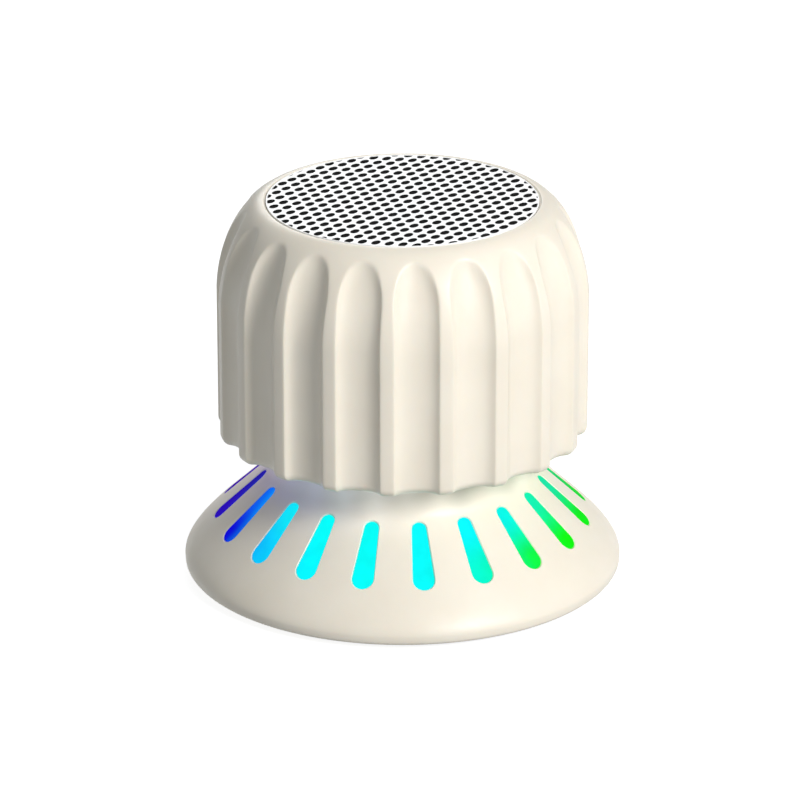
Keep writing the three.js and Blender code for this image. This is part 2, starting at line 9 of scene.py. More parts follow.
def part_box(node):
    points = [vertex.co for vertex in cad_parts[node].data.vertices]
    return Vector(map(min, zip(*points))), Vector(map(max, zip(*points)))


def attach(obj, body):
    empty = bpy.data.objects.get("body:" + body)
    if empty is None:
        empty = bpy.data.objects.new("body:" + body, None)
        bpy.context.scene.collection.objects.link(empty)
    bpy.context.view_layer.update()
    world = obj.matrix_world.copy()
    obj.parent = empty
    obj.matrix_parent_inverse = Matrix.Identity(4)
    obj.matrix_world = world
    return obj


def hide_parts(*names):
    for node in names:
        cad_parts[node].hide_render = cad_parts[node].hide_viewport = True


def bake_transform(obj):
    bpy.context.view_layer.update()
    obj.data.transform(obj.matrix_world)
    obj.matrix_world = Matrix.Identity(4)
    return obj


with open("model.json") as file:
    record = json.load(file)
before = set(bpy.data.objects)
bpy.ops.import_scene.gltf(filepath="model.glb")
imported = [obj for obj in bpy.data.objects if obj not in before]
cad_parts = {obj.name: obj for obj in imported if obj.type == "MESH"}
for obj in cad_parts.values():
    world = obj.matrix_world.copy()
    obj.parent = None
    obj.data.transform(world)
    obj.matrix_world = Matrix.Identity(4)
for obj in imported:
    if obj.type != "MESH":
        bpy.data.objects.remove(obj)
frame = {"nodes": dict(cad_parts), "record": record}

MM = 0.001
TURN = 2 * math.pi
# Angles in degrees: an edge that turns more than this stays sharp
SMOOTH = 35.0
SHELL_SMOOTH = 40.0
ROUNDED_SMOOTH = 50.0
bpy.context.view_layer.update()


def cad(node):
    """Lowest and highest corner of a CAD node, in millimetres."""
    low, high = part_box(node)
    return Vector(low) / MM, Vector(high) / MM


# ---- Driving dimensions, read from the frame where it has them ----
BODY_LOW, BODY_HIGH = cad("body_shell")
BODY_RADIUS = BODY_HIGH.x
BODY_BOTTOM = BODY_LOW.z
BODY_TOP = BODY_HIGH.z
BODY_EDGE = 1.4
BODY_CAVITY_RADIUS = 23.6
BODY_CAVITY_TOP = 46.0
LEDGE_LOW = 50.8
LEDGE_TOP = 52.0
LEDGE_BORE = 16.8
LEDGE_RADIUS = 19.0
SHOULDER_HEIGHT = 14.2
SHOULDER_POWER = 1.79
LIP_RADIUS = 20.3
LIP_DROP = 0.25
GRILLE_OPENING = 19.98
FLUTES = 20
GROOVE_HALF_WIDTH = 3.25
GROOVE_DEPTH = 1.4
GROOVE_BOWL = 0.6
GROOVE_EDGE = 0.18
ARCH_RADIUS = 23.0
ARCH_LENGTH = 7.0

BASE_LOW, BASE_HIGH = cad("base_shell")
RIM_RADIUS = BASE_HIGH.x
RIM_BOTTOM = BASE_LOW.z
NECK_TOP = BASE_HIGH.z
NECK_RADIUS = 19.0
NECK_LOW = 19.1
NECK_BORE = 6.0
NECK_CAVITY_RADIUS = 17.2
NECK_CAVITY_TOP = 19.7
NECK_CAVITY_LOW = 15.6
BASE_WALL = 1.8
RIM_MIDDLE = 2.2
RIM_EDGE = 0.9
RIM_BORE = 30.2
SEAT_RADIUS = 28.8
SEAT_TOP = 4.6
SEAT_LOW = 3.4
SLOPE_TOP = Vector((20.3, 15.1))
SLOPE_LOW = Vector((28.1, 7.8))
SLOTS = 19
SLOT_FIRST = math.radians(11.2)
SLOT_TOP_RADIUS = 1.05
SLOT_LOW_RADIUS = 1.58
SLOT_EDGE_WIDTH = 0.18
SLOT_EDGE_DEPTH = 0.26
GUIDE_NEAR = 1.95
GUIDE_FAR = 3.2
GUIDE_PAD_GAP = 0.07
GUIDE_PAD_LOW = -2.4
GUIDE_PAD_TOP = -0.06

PANEL_LOW, PANEL_HIGH = cad("control_panel")
PANEL_MIDDLE = (PANEL_LOW.z + PANEL_HIGH.z) / 2
PANEL_CORNER = 2.35
PANEL_EDGE = 0.14
PANEL_GAP = 0.1
FLAT_Y = 26.1
FLAT_WIDTH = 17.6
FLAT_HEIGHT = 20.2
FLAT_CORNER = 3.0
WALL_INNER = 20.0
PANEL_BEHIND = 24.0
WALL_OUTER = 28.0
POCKET_FLOOR = 24.7
BUTTON_GAP = 0.2
BUTTON_LOW, BUTTON_HIGH = cad("play_button")
BUTTON_Z = (BUTTON_LOW.z + BUTTON_HIGH.z) / 2
BUTTON_RADIUS = (BUTTON_HIGH.z - BUTTON_LOW.z) / 2
BUTTON_PITCH = cad("volume_down_button")[1].x - BUTTON_RADIUS
MARK_ROOT = 0.3
MARK_HEIGHT = 0.06
MICROPHONE_Z = sum(corner.z for corner in cad("microphone")) / 2
MICROPHONE_HOLE_RADIUS = 0.4
MICROPHONE_WALL_RADIUS = 0.5
FLAP_LOW, FLAP_HIGH = cad("port_flap")
PORT_Z = (FLAP_LOW.z + FLAP_HIGH.z) / 2
FLAP_CORNER = 1.6
FLAP_PLATE_LOW = 25.0
# Width, height and corner radius of the holes for the port, and of the flap's plug and lip
WALL_WINDOW = (10.2, 4.6, 1.4)
PANEL_WINDOW = (11.6, 5.8, 1.8)
PLUG_OUTLINE = (8.0, 2.2, 1.05)
NAIL_LIP_OUTLINE = (4.4, 0.7, 0.34)

COVER_CEILING = 4.8
COVER_BORE = 3.2
COVER_BOX_RADIUS = 24.4
COVER_RIBS = (6.0, 17.0, 19.0, 21.0)
COVER_FLANGE_TOP = 2.4
COVER_WALL = 1.2
COVER_EDGE = 0.3
SCREW_CLEARANCE = 1.1
SCREW_RECESS = 2.1
SCREW_SEAT = 5.7

FLEX_SECTORS = 12

GRILLE_GAP = 0.04
SHEET_THICKNESS = 0.05
SHEET_EDGE = 0.012
SHEET_BORDER = 0.15
SKIRT_WALL = 0.2
CLOTH_THICKNESS = 0.3
CLOTH_BORDER = 0.25
HOLE_HALF_WIDTH = 0.62
HOLE_HALF_LENGTH = 0.97
HOLE_LEAN = math.radians(20)
HOLE_PITCH = 1.96
HOLE_ROW_GAP = 2.0
HOLE_ROWS_ANGLE = math.radians(-6.9)
HOLE_FIRST = Vector((0.83, -0.77))

# ---- Camera, floor and the lamps under the body ----
CAMERA_AZIMUTH = math.radians(4.6)
CAMERA_ELEVATION = math.radians(21.85)
CAMERA_DISTANCE = 749.0
CAMERA_TARGET = Vector((0, 0, 26.1))
CAMERA_LENS = 227.7
CAMERA_SHIFT = -0.0031
FLOOR_Z = -0.02
FLOOR_REACH = 3000.0
SPILL_ENERGY = 0.00017
SPILL_LIGHTS = 24
SPILL_RADIUS = 22.0
SPILL_Z = 18.5
SPILL_SIZE = 2.0


# ---- Mesh helpers ----
def make_object(name, vertices, faces, smooth_angle=SMOOTH):
    mesh = bpy.data.meshes.new(name)
    mesh.from_pydata([Vector(v) * MM for v in vertices], [], faces)
    mesh.validate()
    piece = bpy.data.objects.new(name, mesh)
    bpy.context.scene.collection.objects.link(piece)
    shade(piece, smooth_angle)
    return piece


def shade(piece, angle=SMOOTH):
    mesh = piece.data
    mesh.polygons.foreach_set("use_smooth", [True] * len(mesh.polygons))
    mesh.set_sharp_from_angle(angle=math.radians(angle))
    mesh.update()


def tidy_normals(piece):
    mesh = bmesh.new()
    mesh.from_mesh(piece.data)
    bmesh.ops.recalc_face_normals(mesh, faces=mesh.faces)
    mesh.to_mesh(piece.data)
    mesh.free()


def grid_piece(name, columns, rows, place, smooth_angle=SMOOTH):
    """Closed ring surface: columns go round Z and rows go round the section."""
    vertices = [place(column, row) for column in range(columns) for row in range(rows)]
    faces = []
    for column in range(columns):
        beside = (column + 1) % columns
        for row in range(rows):
            above = (row + 1) % rows
            faces.append((column * rows + row, beside * rows + row,
                          beside * rows + above, column * rows + above))
    piece = make_object(name, vertices, faces, smooth_angle)
    tidy_normals(piece)
    return piece


def turned(name, profile, columns, smooth_angle=SMOOTH):
    """Closed ring of revolution: the profile goes round its section, off the axis."""
    def place(column, row):
        angle = TURN * column / columns
        radius, height = profile[row]
        return Vector((radius * math.sin(angle), -radius * math.cos(angle), height))
    return grid_piece(name, columns, len(profile), place, smooth_angle)


def turned_solid(name, profile, columns=96):
    """Solid of revolution: only the first and last points of the profile lie on the axis."""
    inner = profile[1:-1]
    vertices = []
    for column in range(columns):
        angle = TURN * column / columns
        vertices += [Vector((r * math.sin(angle), -r * math.cos(angle), z)) for r, z in inner]
    rows = len(inner)
    first, last = len(vertices), len(vertices) + 1
    vertices += [Vector((0, 0, profile[0][1])), Vector((0, 0, profile[-1][1]))]
    faces = []
    for column in range(columns):
        here, beside = column * rows, (column + 1) % columns * rows
        faces.append((first, beside, here))
        faces.append((last, here + rows - 1, beside + rows - 1))
        faces += [(here + row, beside + row, beside + row + 1, here + row + 1) for row in range(rows - 1)]
    piece = make_object(name, vertices, faces)
    tidy_normals(piece)
    return piece


def lofted(name, rings):
    """Solid through rings of points, each with the same number, and a face across each end."""
    count = len(rings[0])
    last = count * (len(rings) - 1)
    vertices = [point for ring in rings for point in ring]
    faces = [tuple(reversed(range(count))), tuple(range(last, last + count))]
    for start in range(0, last, count):
        faces += [(start + i, start + (i + 1) % count, start + count + (i + 1) % count, start + count + i)
                  for i in range(count)]
    piece = make_object(name, vertices, faces)
    tidy_normals(piece)
    return piece


def raised(outline, level, matrix):
    """Copy of an outline at a level along the matrix's local Z."""
    return [matrix @ Vector((x, y, level)) for x, y in outline]


def prism(name, outline, low, high, matrix=Matrix.Identity(4)):
    """Solid between two copies of a closed outline, at low and high along the local Z."""
    return lofted(name, [raised(outline, low, matrix), raised(outline, high, matrix)])


def sector(name, section, index, count, steps=4):
    """One of the equal sectors of a ring with the given section."""
    rings = []
    for step in range(steps + 1):
        angle = TURN / count * (index + step / steps)
        rings.append([Vector((r * math.sin(angle), -r * math.cos(angle), z)) for r, z in section])
    return lofted(name, rings)


def merged(name, pieces):
    """One object that holds the meshes of several, which are removed."""
    mesh = bmesh.new()
    for piece in pieces:
        mesh.from_mesh(piece.data)
    result = bpy.data.objects.new(name, bpy.data.meshes.new(name))
    mesh.to_mesh(result.data)
    mesh.free()
    bpy.context.scene.collection.objects.link(result)
    for piece in pieces:
        drop(piece)
    return result


def drop(piece):
    """Removes a piece and its mesh."""
    mesh = piece.data
    bpy.data.objects.remove(piece)
    bpy.data.meshes.remove(mesh)


def applied(piece):
    """Bakes the modifiers of a piece into its mesh."""
    graph = bpy.context.evaluated_depsgraph_get()
    baked = bpy.data.meshes.new_from_object(piece.evaluated_get(graph))
    old = piece.data
    piece.modifiers.clear()
    piece.data = baked
    if old.users == 0:
        bpy.data.meshes.remove(old)
    baked.name = piece.name


def combine(piece, tool, operation, smooth_angle=SMOOTH):
    """Boolean with the exact solver. The tool is removed."""
    modifier = piece.modifiers.new("combine", "BOOLEAN")
    modifier.operation = operation
    modifier.solver = "EXACT"
    modifier.object = tool
    applied(piece)
    drop(tool)
    shade(piece, smooth_angle)


def bevelled(piece, width, segments=2):
    """Rounds the edges of a piece that are sharper than 40 degrees."""
    modifier = piece.modifiers.new("edges", "BEVEL")
    modifier.width = width * MM
    modifier.segments = segments
    modifier.limit_method = "ANGLE"
    modifier.angle_limit = math.radians(40.0)
    modifier.harden_normals = False
    applied(piece)
    shade(piece, ROUNDED_SMOOTH)


def arc(centre, radius, start, end, count):
    """Points of an arc in a plane, angles in degrees."""
    points = []
    for i in range(count + 1):
        angle = math.radians(start + (end - start) * i / count)
        points.append((centre[0] + radius * math.cos(angle), centre[1] + radius * math.sin(angle)))
    return points


def quadratic(start, control, end, count):
    """Points of a quadratic curve in a plane."""
    start, control, end = Vector(start), Vector(control), Vector(end)
    points = []
    for i in range(count + 1):
        t = i / count
        points.append(tuple(start * (1 - t) ** 2 + control * 2 * t * (1 - t) + end * t * t))
    return points


def rounded_outline(width, height, corner, steps=8):
    """Rectangle with round corners, about the origin."""
    right, top = width / 2 - corner, height / 2 - corner
    outline = []
    for x, y, start in ((right, top, 0), (-right, top, 90), (-right, -top, 180), (right, -top, 270)):
        outline += arc((x, y), corner, start, start + 90, steps)
    return outline


def circle(radius, steps=32):
    return arc((0, 0), radius, 0, 360 * (steps - 1) / steps, steps - 1)


def facing_back(x, z):
    """Puts an outline in the XZ plane, seen from behind, with its local Z along +Y."""
    return Matrix(((-1, 0, 0, x), (0, 0, 1, 0), (0, 1, 0, z), (0, 0, 0, 1)))


def placed(piece, matrix):
    """Moves a piece's mesh by a matrix whose translation is in millimetres."""
    moved = matrix.copy()
    moved.translation *= MM
    piece.data.transform(moved)
    return piece


def finish_piece(piece, material, body, slot, *nodes):
    piece.data.materials.clear()
    piece.data.materials.append(material)
    if body:
        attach(piece, body)
    if nodes:
        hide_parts(*nodes)


# ---- Material helpers ----
def new_material(name):
    material = bpy.data.materials.new(name)
    material.use_nodes = True
    tree = material.node_tree
    return material, tree, tree.nodes["Principled BSDF"]


def noise_value(tree, scale, detail):
    """Noise in object space; scale is features per millimetre."""
    coordinates = tree.nodes.new("ShaderNodeTexCoord")
    texture = tree.nodes.new("ShaderNodeTexNoise")
    texture.inputs["Scale"].default_value = scale / MM
    texture.inputs["Detail"].default_value = detail
    texture.inputs["Roughness"].default_value = 0.5
    tree.links.new(coordinates.outputs["Object"], texture.inputs["Vector"])
    return texture.outputs["Fac"]


def remap(tree, value, low, high):
    """Spreads the middle of a noise's range over low to high."""
    node = tree.nodes.new("ShaderNodeMapRange")
    node.inputs["To Min"].default_value = low
    node.inputs["To Max"].default_value = high
    node.inputs["From Min"].default_value = 0.3
    node.inputs["From Max"].default_value = 0.7
    tree.links.new(value, node.inputs["Value"])
    return node.outputs["Result"]


def mixed_colour(tree, factor, first, second):
    node = tree.nodes.new("ShaderNodeMix")
    node.data_type = "RGBA"
    node.inputs["A"].default_value = (*first, 1)
    node.inputs["B"].default_value = (*second, 1)
    tree.links.new(factor, node.inputs["Factor"])
    return node.outputs["Result"]


def add_bump(tree, shader, height, distance):
    bump = tree.nodes.new("ShaderNodeBump")
    bump.inputs["Strength"].default_value = 1.0
    bump.inputs["Distance"].default_value = distance * MM
    tree.links.new(height, bump.inputs["Height"])
    tree.links.new(bump.outputs["Normal"], shader.inputs["Normal"])


def grained(name, colour, second, roughness, spread, grain, depth,
            metallic=0.0, coat=0.0, subsurface=0.0, specular=0.5):
    """Moulded, painted or cast surface: mottled colour, uneven gloss and a fine grain."""
    material, tree, shader = new_material(name)
    mottle = remap(tree, noise_value(tree, 0.12, 4.0), 0, 1)
    tree.links.new(mixed_colour(tree, mottle, colour, second), shader.inputs["Base Color"])
    gloss = noise_value(tree, 0.5, 3.0)
    tree.links.new(remap(tree, gloss, roughness - spread, roughness + spread), shader.inputs["Roughness"])
    add_bump(tree, shader, noise_value(tree, 1 / grain, 2.0), depth)
    shader.inputs["Metallic"].default_value = metallic
    shader.inputs["Coat Weight"].default_value = coat
    shader.inputs["Specular IOR Level"].default_value = specular
    shader.inputs["Coat Roughness"].default_value = 0.25
    if subsurface:
        shader.inputs["Subsurface Weight"].default_value = subsurface
        shader.inputs["Subsurface Scale"].default_value = MM
        shader.inputs["Subsurface Radius"].default_value = (1.0, 0.6, 0.35)
    return material


def woven(name, colour, second, pitch, depth):
    """Cloth or pressed paper: two crossed wave textures of the given thread pitch."""
    material, tree, shader = new_material(name)
    coordinates = tree.nodes.new("ShaderNodeTexCoord")
    waves = []
    for direction in ("X", "Y"):
        wave = tree.nodes.new("ShaderNodeTexWave")
        wave.bands_direction = direction
        wave.inputs["Scale"].default_value = 0.314 / (pitch * MM)
        tree.links.new(coordinates.outputs["Object"], wave.inputs["Vector"])
        waves.append(wave.outputs["Fac"])
    weave = tree.nodes.new("ShaderNodeMath")
    weave.operation = "MAXIMUM"
    tree.links.new(waves[0], weave.inputs[0])
    tree.links.new(waves[1], weave.inputs[1])
    tree.links.new(mixed_colour(tree, weave.outputs[0], second, colour), shader.inputs["Base Color"])
    shader.inputs["Roughness"].default_value = 0.85
    shader.inputs["Specular IOR Level"].default_value = 0.05
    add_bump(tree, shader, weave.outputs[0], depth)
    return material


# Colours round the ring of slots: angle from the front towards +X, colour at a slot's low end and its top
GLOW_STOPS = (
    (-180, (1.0, 0.10, 0.02), (1.0, 0.30, 0.05)),
    (-148, (0.95, 0.02, 0.35), (1.0, 0.10, 0.45)),
    (-122, (0.30, 0.0, 0.70), (0.45, 0.04, 0.80)),
    (-102, (0.03, 0.0, 0.36), (0.03, 0.0, 0.36)),
    (-83, (0.02, 0.004, 0.42), (0.015, 0.01, 0.34)),
    (-65, (0.002, 0.002, 0.62), (0.003, 0.125, 0.80)),
    (-46, (0.002, 0.50, 0.90), (0.004, 0.70, 0.85)),
    (-27, (0.0, 0.86, 0.92), (0.0, 0.90, 0.88)),
    (-8, (0.0, 0.90, 0.86), (0.0, 0.91, 0.86)),
    (11, (0.0, 0.90, 0.90), (0.0, 0.89, 0.90)),
    (30, (0.0, 0.90, 0.58), (0.0, 0.87, 0.93)),
    (49, (0.002, 0.88, 0.06), (0.0, 0.87, 0.74)),
    (68, (0.003, 0.88, 0.003), (0.005, 0.83, 0.40)),
    (87, (0.005, 0.78, 0.01), (0.01, 0.72, 0.35)),
    (106, (0.01, 0.62, 0.05), (0.01, 0.60, 0.20)),
    (128, (0.55, 0.75, 0.0), (0.50, 0.80, 0.05)),
    (154, (1.0, 0.42, 0.0), (1.0, 0.60, 0.05)),
    (180, (1.0, 0.10, 0.02), (1.0, 0.30, 0.05)),
)


def turn_share(tree, axes):
    """Angle round Z from the back towards -X, as a share of a whole turn, with the front at a half."""
    forward = tree.nodes.new("ShaderNodeMath")
    forward.operation = "MULTIPLY"
    forward.inputs[1].default_value = -1.0
    tree.links.new(axes.outputs["Y"], forward.inputs[0])
    angle = tree.nodes.new("ShaderNodeMath")
    angle.operation = "ARCTAN2"
    tree.links.new(axes.outputs["X"], angle.inputs[0])
    tree.links.new(forward.outputs[0], angle.inputs[1])
    around = tree.nodes.new("ShaderNodeMapRange")
    around.inputs["From Min"].default_value = -math.pi
    around.inputs["From Max"].default_value = math.pi
    tree.links.new(angle.outputs[0], around.inputs["Value"])
    return around.outputs["Result"]


def stops_colour(tree, share, which):
    """Colour of GLOW_STOPS at a share of a turn: which is 1 for a slot's low end and 2 for its top."""
    ramp = tree.nodes.new("ShaderNodeValToRGB")
    elements = ramp.color_ramp.elements
    while len(elements) > 1:
        elements.remove(elements[-1])
    for index, stop in enumerate(GLOW_STOPS):
        position = (stop[0] + 180) / 360
        element = elements[0] if index == 0 else elements.new(position)
        element.position = position
        element.color = (*stop[which], 1)
    tree.links.new(share, ramp.inputs["Fac"])
    return ramp.outputs["Color"]


def glow_material(name, strength):
    """Lit light guide: its colour follows the angle round Z and the height on the slope."""
    material, tree, shader = new_material(name)
    coordinates = tree.nodes.new("ShaderNodeTexCoord")
    axes = tree.nodes.new("ShaderNodeSeparateXYZ")
    tree.links.new(coordinates.outputs["Object"], axes.inputs["Vector"])
    share = turn_share(tree, axes)
    height = tree.nodes.new("ShaderNodeMapRange")
    height.interpolation_type = "SMOOTHSTEP"
    height.inputs["From Min"].default_value = (SLOPE_LOW.y + 1.2) * MM
    height.inputs["From Max"].default_value = (SLOPE_TOP.y - 1.2) * MM
    tree.links.new(axes.outputs["Z"], height.inputs["Value"])
    blend = tree.nodes.new("ShaderNodeMix")
    blend.data_type = "RGBA"
    tree.links.new(height.outputs["Result"], blend.inputs["Factor"])
    tree.links.new(stops_colour(tree, share, 1), blend.inputs["A"])
    tree.links.new(stops_colour(tree, share, 2), blend.inputs["B"])
    tree.links.new(blend.outputs["Result"], shader.inputs["Emission Color"])
    haze = remap(tree, noise_value(tree, 0.4, 2.0), 0.95 * strength, 1.05 * strength)
    tree.links.new(haze, shader.inputs["Emission Strength"])
    shader.inputs["Base Color"].default_value = (0.003, 0.003, 0.003, 1)
    shader.inputs["Roughness"].default_value = 0.5
    shader.inputs["Specular IOR Level"].default_value = 0.0
    return material


# Colour of the soft light under the body: angle from the front towards +X, colour
SPILL_STOPS = (
    (-180, (1.0, 0.45, 0.30)),
    (-140, (1.0, 0.35, 0.60)),
    (-100, (0.35, 0.18, 0.85)),
    (-60, (0.12, 0.16, 0.60)),
    (-40, (0.20, 0.30, 0.80)),
    (-25, (0.48, 0.63, 0.90)),
    (0, (0.90, 0.92, 0.98)),
    (30, (0.45, 0.52, 0.48)),
    (70, (0.35, 0.65, 0.42)),
    (110, (0.50, 0.90, 0.40)),
    (150, (1.0, 0.75, 0.30)),
    (180, (1.0, 0.45, 0.30)),
)
# Moulded, painted, cast and wire finishes: colour, mottle colour, roughness and its spread, pitch of the
# grain and height of its bump in millimetres, and what else the finish has
FINISHES = {
    "ivory_plastic": ((0.80, 0.745, 0.64), (0.77, 0.71, 0.60), 0.43, 0.05, 0.35, 0.004,
                      {"coat": 0.04, "subsurface": 0.12, "specular": 0.36}),
    "soft_ivory": ((0.74, 0.69, 0.60), (0.71, 0.66, 0.57), 0.62, 0.05, 0.2, 0.006, {}),
    "white_metal": ((0.90, 0.90, 0.895), (0.87, 0.87, 0.865), 0.42, 0.06, 0.12, 0.004, {}),
    "led_board": ((0.80, 0.81, 0.79), (0.76, 0.77, 0.75), 0.40, 0.05, 0.3, 0.004, {}),
    "led_white": ((0.85, 0.85, 0.80), (0.80, 0.80, 0.74), 0.30, 0.05, 0.3, 0.003, {"coat": 0.3}),
    "dark_plastic": ((0.020, 0.020, 0.021), (0.026, 0.026, 0.027), 0.55, 0.06, 0.15, 0.015, {}),
    "clear_rubber": ((0.62, 0.65, 0.66), (0.56, 0.60, 0.61), 0.28, 0.06, 0.6, 0.010,
                     {"coat": 0.3, "subsurface": 0.25}),
    "steel": ((0.55, 0.55, 0.56), (0.48, 0.48, 0.49), 0.32, 0.08, 0.2, 0.005, {"metallic": 1.0}),
    "black_rubber": ((0.012, 0.012, 0.012), (0.018, 0.018, 0.018), 0.6, 0.06, 0.2, 0.010, {}),
    "foam": ((0.03, 0.03, 0.032), (0.05, 0.05, 0.052), 0.95, 0.03, 0.25, 0.08, {}),
    "battery_foil": ((0.45, 0.47, 0.50), (0.38, 0.40, 0.43), 0.35, 0.08, 0.8, 0.02, {"metallic": 0.9}),
    "green_board": ((0.012, 0.10, 0.035), (0.016, 0.13, 0.05), 0.35, 0.05, 0.3, 0.010, {"coat": 0.3}),
    "copper": ((0.50, 0.20, 0.08), (0.42, 0.16, 0.06), 0.35, 0.06, 0.1, 0.02, {"metallic": 1.0}),
    "ferrite": ((0.03, 0.03, 0.032), (0.045, 0.045, 0.047), 0.7, 0.06, 0.15, 0.03, {"metallic": 0.3}),
    "wire": ((0.30, 0.012, 0.010), (0.25, 0.010, 0.008), 0.4, 0.05, 0.3, 0.006, {}),
    "black_wire": ((0.015, 0.015, 0.015), (0.02, 0.02, 0.02), 0.45, 0.05, 0.3, 0.006, {}),
}
# Cloth and pressed paper: thread colour, gap colour, pitch of the threads and height of their bump
CLOTHS = {
    "black_cloth": ((0.006, 0.006, 0.006), (0.002, 0.002, 0.002), 0.25, 0.04),
    "black_paper": ((0.014, 0.014, 0.015), (0.008, 0.008, 0.009), 0.18, 0.02),
    "spider_cloth": ((0.36, 0.24, 0.08), (0.22, 0.14, 0.045), 0.35, 0.05),
}
MATERIALS = {"light_guide": glow_material("light_guide", 1.1)}
for finish, (*numbers, extras) in FINISHES.items():
    MATERIALS[finish] = grained(finish, *numbers, **extras)
for finish, numbers in CLOTHS.items():
    MATERIALS[finish] = woven(finish, *numbers)


# ---- Body shell ----
EDGE_STEPS = 8


def shoulder_point(t):
    """Point of the shoulder's superellipse, from its foot at 0 to the lip at a quarter turn."""
    power = 2 / SHOULDER_POWER
    return (LIP_RADIUS + (BODY_RADIUS - LIP_RADIUS) * math.cos(t) ** power,
            BODY_TOP - SHOULDER_HEIGHT + SHOULDER_HEIGHT * math.sin(t) ** power)


def body_profile():
    """Outside of the body without its flutes, from the lower edge to the lip."""
    wall_steps, shoulder_steps = 8, 56
    points = arc((BODY_RADIUS - BODY_EDGE, BODY_BOTTOM + BODY_EDGE), BODY_EDGE, -90, 0, EDGE_STEPS)
    wall = BODY_TOP - SHOULDER_HEIGHT - BODY_BOTTOM - BODY_EDGE
    points += [(BODY_RADIUS, BODY_BOTTOM + BODY_EDGE + wall * i / wall_steps) for i in range(1, wall_steps)]
    points += [shoulder_point(math.pi / 2 * i / shoulder_steps) for i in range(shoulder_steps + 1)]
    return points


def groove_depth(across, down):
    """Depth of a groove at a distance across from its centre line and down from its arch's tip."""
    rise = max(0.0, 1 - down / ARCH_LENGTH)
    place = math.hypot(across / GROOVE_HALF_WIDTH, rise)
    if place < 1:
        depth = GROOVE_DEPTH * (1 - GROOVE_BOWL * place ** 2 - (1 - GROOVE_BOWL) * place ** 6)
    else:
        depth = -GROOVE_DEPTH * (6 - 4 * GROOVE_BOWL) * (place - 1)
    return (depth + math.hypot(depth, GROOVE_EDGE)) / 2


def flute_columns():
    """Places of the columns in one flute, from the middle of a ridge, as shares of the flute's pitch."""
    steps = 22
    edge = math.asin(GROOVE_HALF_WIDTH / BODY_RADIUS) / (TURN / FLUTES)
    inner = [0.5 - edge * math.cos(math.pi * i / steps) for i in range(steps + 1)]
    ridge = [(0.5 - edge) * share for share in (0.0, 0.35, 0.6, 0.8, 0.92)]
    return ridge + inner + [1 - share for share in reversed(ridge[1:])]


def lengths_down(profile):
    """Distance along the profile from the tip of the arches down to each of its points."""
    lengths = [0.0]
    for first, second in zip(profile, profile[1:]):
        lengths.append(lengths[-1] + math.dist(first, second))
    tip = next(i for i in range(len(profile)) if profile[i][1] > BODY_TOP - SHOULDER_HEIGHT
               and profile[i][0] < ARCH_RADIUS)
    return [lengths[tip] - length for length in lengths]


def profile_normals(profile):
    """Outward directions at the points of the profile. On the lower edge they stay level."""
    normals = []
    for index in range(len(profile)):
        before = Vector(profile[max(index - 1, 0)])
        after = Vector(profile[min(index + 1, len(profile) - 1)])
        along = (after - before).normalized()
        normals.append(Vector((along.y, -along.x)) if index > EDGE_STEPS else Vector((1, 0)))
    return normals


def make_fluted_shell():
    profile = body_profile()
    downs = lengths_down(profile)
    normals = profile_normals(profile)
    inside = [(GRILLE_OPENING, BODY_TOP - LIP_DROP), (GRILLE_OPENING, LEDGE_TOP), (LEDGE_BORE, LEDGE_TOP),
              (LEDGE_BORE, LEDGE_LOW), (LEDGE_RADIUS, LEDGE_LOW), (BODY_CAVITY_RADIUS, BODY_CAVITY_TOP),
              (BODY_CAVITY_RADIUS, BODY_BOTTOM)]
    shares = flute_columns()
    rows = len(profile) + len(inside)

    def place(column, row):
        flute, position = divmod(column, len(shares))
        angle = TURN / FLUTES * (flute + shares[position])
        if row < len(profile):
            radius, height = profile[row]
            across = abs(shares[position] - 0.5) * TURN / FLUTES * radius
            depth = groove_depth(across, downs[row])
            radius -= depth * normals[row].x
            height -= depth * normals[row].y
        else:
            radius, height = inside[row - len(profile)]
        return Vector((radius * math.sin(angle), -radius * math.cos(angle), height))

    return grid_piece("body_shell_fluted", FLUTES * len(shares), rows, place, SHELL_SMOOTH)


def wall_holes(near, window, microphone_radius):
    """Cutter for the holes of the three buttons, the port and the microphone, outwards from near."""
    button = circle(BUTTON_RADIUS + BUTTON_GAP)
    microphone = circle(microphone_radius, 16)
    holes = [prism("hole", button, near, WALL_OUTER, facing_back(x, BUTTON_Z))
             for x in (-BUTTON_PITCH, 0, BUTTON_PITCH)]
    holes.append(prism("window", window, near, WALL_OUTER, facing_back(0, PORT_Z)))
    holes.append(prism("microphone_hole", microphone, near, WALL_OUTER, facing_back(0, MICROPHONE_Z)))
    return merged("holes", holes)


def make_body():
    """Fluted shell with the control panel's flat and pocket at its back, and holes through the wall."""
    body = make_fluted_shell()
    place = facing_back(0, PANEL_MIDDLE)
    outline = rounded_outline(FLAT_WIDTH, FLAT_HEIGHT, FLAT_CORNER)
    combine(body, prism("pad", outline, BODY_CAVITY_RADIUS + 0.05, FLAT_Y, place), "UNION")
    combine(body, prism("flat", outline, FLAT_Y, FLAT_Y + 5, place), "DIFFERENCE")
    width, height = PANEL_HIGH.x - PANEL_LOW.x, PANEL_HIGH.z - PANEL_LOW.z
    pocket = rounded_outline(width + 2 * PANEL_GAP, height + 2 * PANEL_GAP, PANEL_CORNER + PANEL_GAP)
    combine(body, prism("pocket", pocket, POCKET_FLOOR, FLAT_Y + 1, place), "DIFFERENCE")
    holes = wall_holes(WALL_INNER, rounded_outline(*WALL_WINDOW), MICROPHONE_WALL_RADIUS)
    combine(body, holes, "DIFFERENCE", SHELL_SMOOTH)
    finish_piece(body, MATERIALS["ivory_plastic"], "housing", "ivory_plastic", "body_shell")


# ---- Base shell and light guide ----
SLOPE_VECTOR = SLOPE_LOW - SLOPE_TOP
SLOPE_NORMAL = Vector((-SLOPE_VECTOR.y, SLOPE_VECTOR.x)).normalized()


